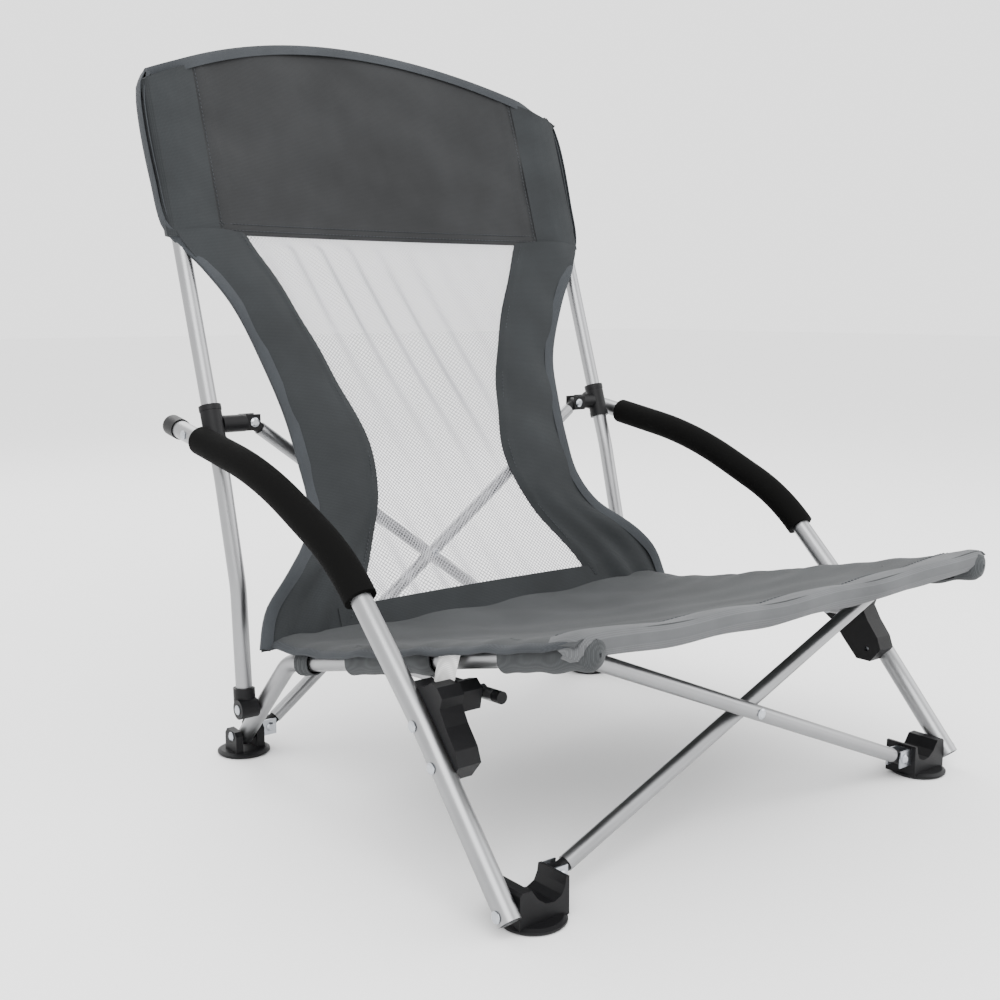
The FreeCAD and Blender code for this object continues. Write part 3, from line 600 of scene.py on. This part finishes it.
class CHAIR_OT_back_binding(bpy.types.Operator):
    """Fold the binding over the back's outer edge, up one side, over the arch and down"""
    bl_idname = "chair.back_binding"
    bl_label = "Back binding"

    def execute(self, context):
        cloth = context.scene.camp_chair_cloth
        outline = []
        for k in range(61):
            z = 0.122 + (CORNER - 0.012 - 0.122) * k / 60
            outline.append((-row_value(BACK_ROWS, z, HALF), z))
        for k in range(71):
            x = -0.238 + 0.476 * k / 70
            outline.append((x, arch_height(x)))
        outline += [(-x, z) for x, z in reversed(outline[:61])]
        lengths = [0.0]
        for a, b in zip(outline, outline[1:]):
            lengths.append(lengths[-1] + math.dist(a, b))

        def spot(s):
            target = s * lengths[-1]
            i = max(k for k in range(len(lengths) - 1) if lengths[k] <= target)
            share = (target - lengths[i]) / (lengths[i + 1] - lengths[i])
            (x0, z0), (x1, z1) = outline[i], outline[i + 1]
            return x0 + (x1 - x0) * share, z0 + (z1 - z0) * share

        def wrap(x, z):
            """How far the edge has turned round the upright's outer side, from 0 to 1."""
            up = max(0.0, min(1.0, (z - 0.452) / 0.042))
            out = max(0.0, min(1.0, (abs(x) - 0.205) / 0.034))
            return (up * up * (3 - 2 * up)) * (out * out * (3 - 2 * out))

        def path(s):
            x, z = spot(s)
            point = back_point(x, z, 0.001)
            turned = wrap(x, z)
            return point + Vector((math.copysign(0.0035, x) * turned, 0.0150 * turned, 0))

        def inward(s):
            (x0, z0), (x1, z1) = spot(max(0.0, s - 0.008)), spot(min(1.0, s + 0.008))
            run = math.hypot(x1 - x0, z1 - z0)
            step_x, step_z = (z1 - z0) / run, -(x1 - x0) / run
            x, z = spot(s)
            reach = 0.004
            flat = (back_point(x + step_x * reach, z + step_z * reach) - back_point(x, z)).normalized()
            return flat.lerp(Vector((0, -0.95, 0.31)), wrap(x, z) * (z < CORNER)).normalized()

        def front(s):
            x, z = spot(s)
            side = Vector((math.copysign(1.0, x), 0, 0))
            return Vector((0, -0.91, 0.41)).lerp(side, wrap(x, z) * (z < CORNER)).normalized()

        tape = binding("back_binding", path, inward, front, cloth.tape_width, 0.0026)
        dress(tape, material_named("Binding tape"), "upright_left", -UPRIGHT_X)
        return {"FINISHED"}


# ------------------------------------------------------------------ the seat
class CHAIR_OT_seat_panel(bpy.types.Operator):
    """Sew the slung seat between the side tubes"""
    bl_idname = "chair.seat_panel"
    bl_label = "Seat panel"

    def execute(self, context):
        cloth = context.scene.camp_chair_cloth

        def place(s, t):
            y = SEAT_FRONT + (SEAT_REAR - SEAT_FRONT) * t
            return seat_point((s * 2 - 1) * 0.238, y)

        seat = cloth_grid("seat_panel", 88, 72, place)
        give_wall(seat, cloth.thickness)
        dress(seat, material_named("Seat cloth"), "seat_tube_left", -RAIL_X)
        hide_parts("seat_fabric")
        return {"FINISHED"}


class CHAIR_OT_seat_front(bpy.types.Operator):
    """Sew the lighter band that rolls over the seat's front edge"""
    bl_idname = "chair.seat_front"
    bl_label = "Seat front band"

    def execute(self, context):
        cloth = context.scene.camp_chair_cloth
        # Distance behind the front edge and height above the seat, round the roll.
        section = ((0.034, 0.0014), (0.022, 0.0026), (0.010, 0.0026), (0.001, 0.0008),
                   (-0.0035, -0.0035), (-0.0035, -0.0095), (0.001, -0.0145), (0.009, -0.0155),
                   (0.020, -0.0120))

        def place(s, t):
            k = t * (len(section) - 1)
            i = min(len(section) - 2, int(k))
            back = section[i][0] + (section[i + 1][0] - section[i][0]) * (k - i)
            up = section[i][1] + (section[i + 1][1] - section[i][1]) * (k - i)
            x = (s * 2 - 1) * 0.239
            hem = 0.0008 * math.sin(x * 52) * math.sin(math.pi * t)
            close = math.sqrt(max(0.0, 1 - max(0.0, (abs(x) - 0.227) / 0.012) ** 2))
            return seat_point(x, SEAT_FRONT + 0.010 + (back - 0.010) * close,
                              (up + 0.005) * close - 0.005 + hem * close)

        band = cloth_grid("seat_front_band", 90, 24, place)
        give_wall(band, cloth.thickness)
        dress(band, material_named("Front band cloth"), "seat_tube_left", -RAIL_X)
        return {"FINISHED"}


class CHAIR_OT_seat_binding(bpy.types.Operator):
    """Fold the binding over both side edges of the seat"""
    bl_idname = "chair.seat_binding"
    bl_label = "Seat binding"

    def execute(self, context):
        cloth = context.scene.camp_chair_cloth
        for side, label in ((-1, "left"), (1, "right")):
            def path(s, side=side):
                tuck = 0.004 * max(0.0, (0.06 - s) / 0.06)
                start = SEAT_FRONT + 0.006
                return seat_point(side * (0.239 - tuck), start + (SEAT_REAR - start) * s, 0.0004 - tuck * 0.6)

            def inward(s, side=side):
                return Vector((-side, 0, 0.25)).normalized()

            def front(s):
                return Vector((0, 0.23, 0.97))

            tape = binding("seat_binding_" + label, path, inward, front, cloth.tape_width * 0.8, 0.0019)
            dress(tape, material_named("Binding tape"), "seat_tube_left", -RAIL_X)
        return {"FINISHED"}


class CHAIR_OT_rail_loops(bpy.types.Operator):
    """Wrap the cloth loops that hold the seat to its side tubes"""
    bl_idname = "chair.rail_loops"
    bl_label = "Rail loops"

    def execute(self, context):
        cloth = context.scene.camp_chair_cloth
        runs = ((0.050, 0.030), (-0.033, -0.149), (-0.230, -0.3215))
        for side, label in ((-1, "left"), (1, "right")):
            for number, (rear, ahead) in enumerate(runs, 1):
                def place(s, t, side=side, rear=rear, ahead=ahead):
                    y = rear + (ahead - rear) * t
                    turn = math.pi * (0.5 + 2 * s)
                    swell = 0.0008 * math.sin(t * 19 + s * 7) + 0.0008 * math.sin(y * 130)
                    radius = 0.0098 + swell * 0.7 + 0.0016 * max(0.0, math.sin(turn))
                    lower = 0.0015 * max(0.0, -math.sin(turn))
                    # The front pocket closes over the rail's end.
                    if number == 3:
                        close = max(0.0, (t - 0.90) / 0.10)
                        radius *= math.sqrt(max(0.004, 1 - close * close))
                    return Vector((side * (RAIL_X - math.cos(turn) * radius), y,
                                   rail_height(y) + math.sin(turn) * radius - lower))

                loop = cloth_grid("rail_loop_%s_%d" % (label, number), 28, 26, place)
                face_outward(loop)
                give_wall(loop, 0.0009)
                dress(loop, material_named("Seat cloth"), "seat_tube_" + label)
        return {"FINISHED"}


class CHAIR_OT_care_label(bpy.types.Operator):
    """Hang the plain white ribbon label below the seat's left edge"""
    bl_idname = "chair.care_label"
    bl_label = "Care label"

    def execute(self, context):
        def place(s, t):
            drop = t * 0.044
            y = -0.166 - 0.025 * s + 0.009 * t
            curl = 0.0030 * math.sin(t * 2.6) + 0.0015 * math.sin(s * 3.1)
            return Vector((-0.2345 - curl, y, rail_height(y) + 0.009 - drop))

        label = cloth_grid("care_label", 12, 18, place)
        give_wall(label, 0.0005)
        dress(label, material_named("Label ribbon"), "seat_tube_left")
        return {"FINISHED"}


class CHAIR_OT_stitching(bpy.types.Operator):
    """Sew the raised stitch rows along the back's and the seat's seams"""
    bl_idname = "chair.stitching"
    bl_label = "Stitching"

    def execute(self, context):
        thread = material_named("Binding tape")
        steps = 60
        for number, height in ((1, HEAD_LOW + 0.004), (2, HEAD_LOW + 0.010)):
            row = [back_point(-0.196 + 0.392 * k / steps, height, 0.0016) for k in range(steps + 1)]
            dress(stitch_row("stitches_head_%d" % number, row), thread, "upright_left",
                  -UPRIGHT_X)
        for side, label in ((-1, "left"), (1, "right")):
            top = arch_height(0.194) - 0.012
            row = [back_point(side * 0.194, HEAD_LOW + (top - HEAD_LOW) * k / steps, 0.0016)
                   for k in range(steps + 1)]
            dress(stitch_row("stitches_pocket_" + label, row), thread, "upright_left",
                  -UPRIGHT_X)
            row = []
            for k in range(steps + 1):
                z = 0.135 + (HEAD_LOW - 0.135) * k / steps
                row.append(back_point(side * (row_value(BACK_ROWS, z, NET_HALF) + 0.003), z, 0.0030))
            dress(stitch_row("stitches_net_" + label, row), thread, "upright_left",
                  -UPRIGHT_X)
        for number, reach in ((1, 0.027), (2, 0.031)):
            row = [seat_point(-0.226 + 0.452 * k / steps, SEAT_FRONT + reach, 0.0026)
                   for k in range(steps + 1)]
            dress(stitch_row("stitches_front_%d" % number, row), thread, "seat_tube_left",
                  -RAIL_X)
        return {"FINISHED"}


# ----------------------------------------------------------------- the stage
class CHAIR_OT_stage(bpy.types.Operator):
    """Set out the pale floor, the soft lights and the camera"""
    bl_idname = "chair.stage"
    bl_label = "Stage"

    def execute(self, context):
        stage = context.scene.camp_chair_stage
        deselect_all()
        bpy.ops.mesh.primitive_plane_add(size=30, location=(0, 0, -0.0005))
        floor = bpy.context.object
        floor.name = "floor"
        paper, nodes, links, shader = new_material("Pale floor", (0.93, 0.93, 0.93), 0.8)
        floor.data.materials.append(paper)
        world = bpy.data.worlds.new("Soft surroundings")
        world.use_nodes = True
        world.node_tree.nodes["Background"].inputs["Color"].default_value = (1, 1, 1, 1)
        world.node_tree.nodes["Background"].inputs["Strength"].default_value = stage.world_strength
        context.scene.world = world
        lights = (("key", stage.key_power, 1.9, (-1.1, -1.5, 2.0)),
                  ("fill", stage.fill_power, 1.9, (1.8, -1.2, 1.3)),
                  ("rim", stage.fill_power, 1.5, (0.4, 1.9, 1.9)))
        for name, power, width, spot in lights:
            bpy.ops.object.light_add(type="AREA", location=spot)
            lamp = bpy.context.object
            lamp.name = name
            lamp.data.energy = power
            lamp.data.size = width
            aim = Vector((0, 0, 0.3)) - Vector(spot)
            lamp.rotation_euler = aim.to_track_quat("-Z", "Y").to_euler()
        place = Vector((-0.7716, -0.9002, 0.4203))
        bpy.ops.object.camera_add(location=place)
        camera = bpy.context.object
        camera.name = "camera"
        camera.data.lens = stage.lens
        camera.data.sensor_width = 36
        aim = Vector((-0.0877, -0.052, 0.2543)) - place
        camera.rotation_euler = aim.to_track_quat("-Z", "Y").to_euler()
        context.scene.camera = camera
        return {"FINISHED"}


PIECES = (CHAIR_OT_finishes, CHAIR_OT_head_panel, CHAIR_OT_head_sleeves, CHAIR_OT_side_bands,
          CHAIR_OT_net, CHAIR_OT_low_band, CHAIR_OT_back_binding, CHAIR_OT_seat_panel, CHAIR_OT_seat_front,
          CHAIR_OT_seat_binding, CHAIR_OT_rail_loops, CHAIR_OT_care_label, CHAIR_OT_stitching,
          CHAIR_OT_stage)


class CHAIR_PT_build(bpy.types.Panel):
    """Lists the steps that build the chair"""
    bl_idname = "CHAIR_PT_build"
    bl_label = "Camp Chair"
    bl_space_type = "VIEW_3D"
    bl_region_type = "UI"
    bl_category = "Camp Chair"

    def draw(self, context):
        for step in PIECES:
            self.layout.operator(step.bl_idname)
        for group in (context.scene.camp_chair_cloth, context.scene.camp_chair_frame,
                      context.scene.camp_chair_stage):
            for name in group.__annotations__:
                self.layout.prop(group, name)


SETTINGS = (ChairClothSettings, ChairFrameSettings, ChairStageSettings)


def register():
    for kind in SETTINGS + PIECES + (CHAIR_PT_build,):
        bpy.utils.register_class(kind)
    bpy.types.Scene.camp_chair_cloth = PointerProperty(type=ChairClothSettings)
    bpy.types.Scene.camp_chair_frame = PointerProperty(type=ChairFrameSettings)
    bpy.types.Scene.camp_chair_stage = PointerProperty(type=ChairStageSettings)


def unregister():
    for name in ("camp_chair_stage", "camp_chair_frame", "camp_chair_cloth"):
        delattr(bpy.types.Scene, name)
    for kind in reversed(SETTINGS + PIECES + (CHAIR_PT_build,)):
        bpy.utils.unregister_class(kind)


def main():
    register()
    bpy.ops.chair.finishes()
    bpy.ops.chair.head_panel()
    bpy.ops.chair.head_sleeves()
    bpy.ops.chair.side_bands()
    bpy.ops.chair.net()
    bpy.ops.chair.low_band()
    bpy.ops.chair.back_binding()
    bpy.ops.chair.seat_panel()
    bpy.ops.chair.seat_front()
    bpy.ops.chair.seat_binding()
    bpy.ops.chair.rail_loops()
    bpy.ops.chair.care_label()
    bpy.ops.chair.stitching()
    bpy.ops.chair.stage()


if __name__ == "__main__":
    main()
